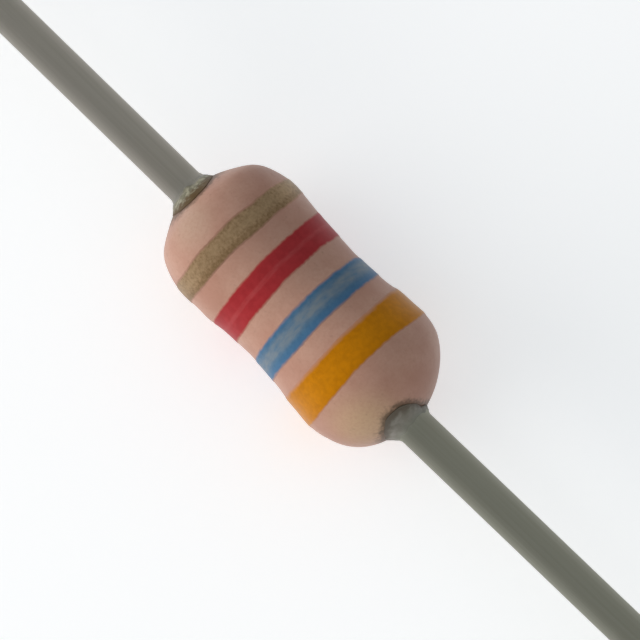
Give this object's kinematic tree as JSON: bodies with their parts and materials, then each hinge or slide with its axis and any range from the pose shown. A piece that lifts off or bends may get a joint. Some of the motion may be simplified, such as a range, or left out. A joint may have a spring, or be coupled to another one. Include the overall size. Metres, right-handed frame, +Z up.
{
  "type": "axial resistor",
  "caption": "Small through-hole resistor: a dog-bone shaped resin body with painted colour bands and a straight tinned wire leaving each end.",
  "frame": {"origin": "centre of the body on its axis, which is also the centre of the whole part's box", "axes": "+X along the body's axis towards the end with the first band (orange), +Y across the wires' lean, +Z up when the part lies on its side"},
  "size_m": [0.026, 0.0018, 0.0018],
  "materials": {
    "rod_ceramic": "matte",
    "film_carbon": "satin",
    "cap_tinned_steel": "satin",
    "wire_tinned": "matte",
    "coat_resin": "satin",
    "paint_orange": "satin",
    "paint_blue": "satin",
    "paint_red": "satin",
    "paint_gold": "matte"
  },
  "bodies": {
    "root": {"ceramic_rod": "rod_ceramic", "carbon_film": "film_carbon", "cap_gold_end": "cap_tinned_steel", "cap_orange_end": "cap_tinned_steel", "lead_gold_end": "wire_tinned", "lead_orange_end": "wire_tinned", "coat": "coat_resin", "band_orange": "paint_orange", "band_blue": "paint_blue", "band_red": "paint_red", "band_gold": "paint_gold"}
  },
  "joints": []
}
